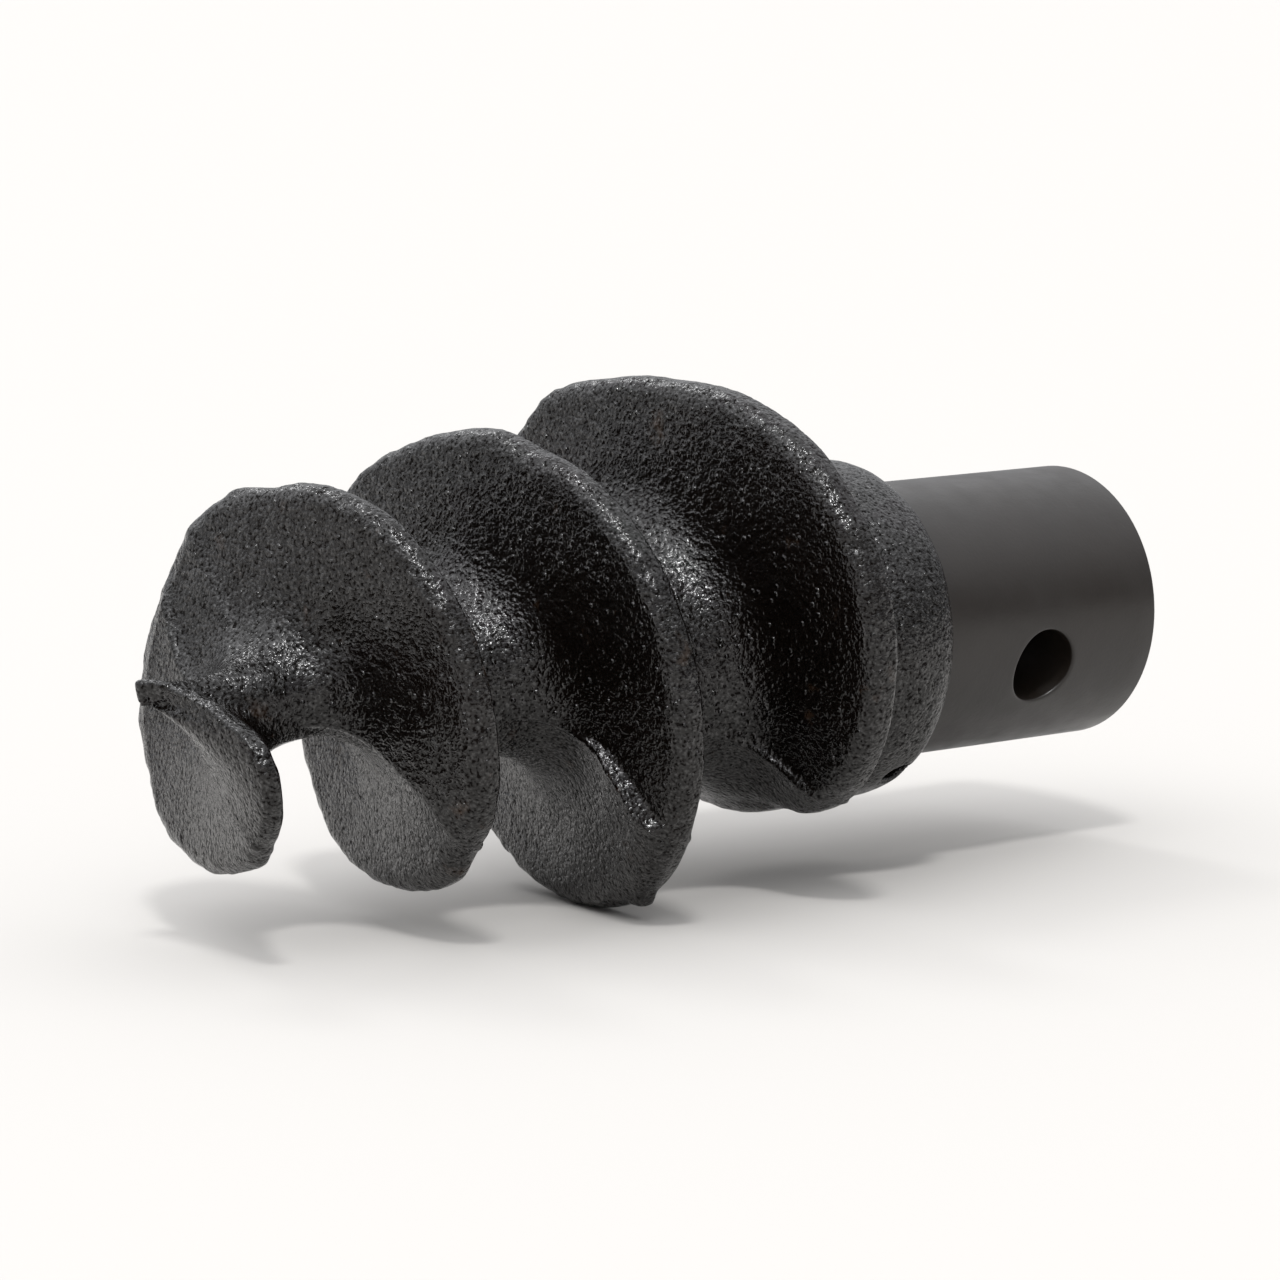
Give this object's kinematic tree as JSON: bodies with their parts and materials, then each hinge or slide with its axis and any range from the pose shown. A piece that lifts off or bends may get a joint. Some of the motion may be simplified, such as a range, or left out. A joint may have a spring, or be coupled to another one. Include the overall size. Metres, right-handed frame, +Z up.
{
  "type": "auger screw point",
  "caption": "Cast right-handed screw point with a tapered core and widening flight, on a round cross-drilled shank, that starts the hole for an earth auger.",
  "frame": {"origin": "on the screw axis where the shank leaves the collar", "axes": "+X along the screw axis from the point to the shank's free end; +Z up with the part lying on its side"},
  "size_m": [0.1594, 0.0732, 0.0698],
  "materials": {
    "cast_paint": "gloss black paint over a pebbled sand-cast skin",
    "shank_paint": "smooth satin black paint",
    "pin_steel": "spring steel, painted over with the casting"
  },
  "bodies": {
    "root": {"screw_casting": "cast_paint", "shank": "shank_paint", "spring_pin": "pin_steel"}
  },
  "joints": []
}
